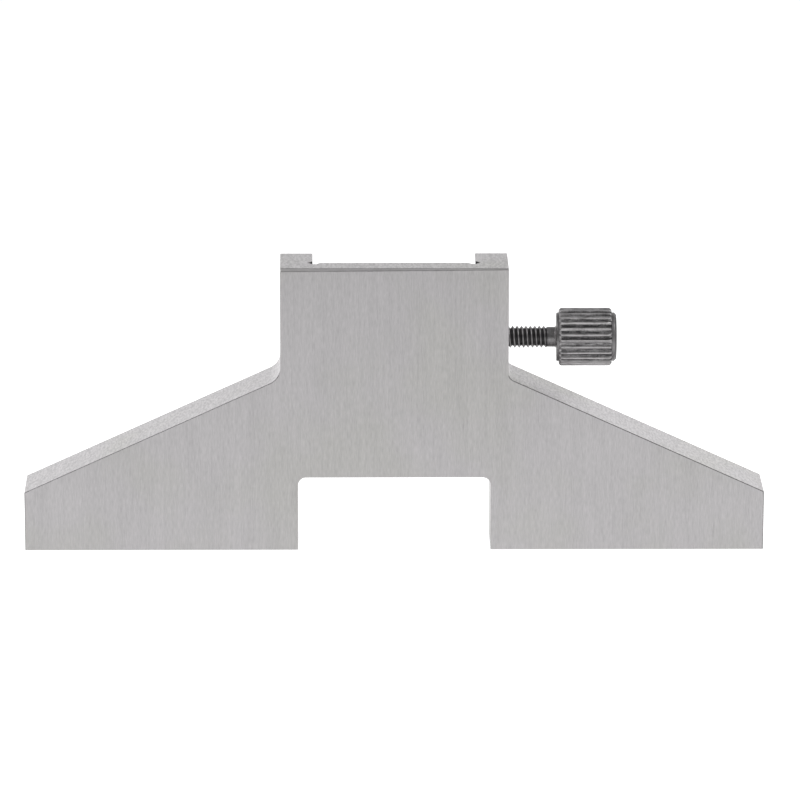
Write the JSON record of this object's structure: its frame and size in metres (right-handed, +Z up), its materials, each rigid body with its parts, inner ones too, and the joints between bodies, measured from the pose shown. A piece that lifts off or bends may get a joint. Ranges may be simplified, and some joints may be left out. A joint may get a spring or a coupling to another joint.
{
  "type": "caliper depth base",
  "caption": "Steel depth base for a caliper: a bridge plate with sloping shoulders, a beam channel up its column and a knurled thumb screw that clamps the beam.",
  "frame": {"origin": "in the measuring plane under the feet, midway between the feet's ends and at mid-thickness of the plate", "axes": "+X along the measuring base towards the thumb screw; +Y from the closed front face to the open back of the beam channel; +Z up the column, away from the measured surface"},
  "size_m": [0.075, 0.0085, 0.0291],
  "materials": {
    "plate": "fine vertical grind on the faces, coarser milled shoulders, sharp edges",
    "screw": "dark nickel plate, worn bright on the knurl",
    "pad": "turned, plain"
  },
  "bodies": {
    "base": {"base_body": "plate"},
    "pad": {"pressure_pad": "pad"},
    "screw": {"thumb_screw": "screw"}
  },
  "joints": [
    {"name": "screw_advance", "type": "slide", "parent": "base", "child": "pad", "axis": [1, 0, 0], "range_m": [-0.00473, 0.0018]},
    {"name": "screw_turn", "type": "hinge", "parent": "pad", "child": "screw", "pos_m": [0.0165, 0.00155, 0.0209], "axis": [1, 0, 0], "range_deg": [-3781, 1441]}
  ],
  "couplings": [
    {"joint": "screw_turn", "follows": "screw_advance", "rad_per_m": 13963}
  ]
}
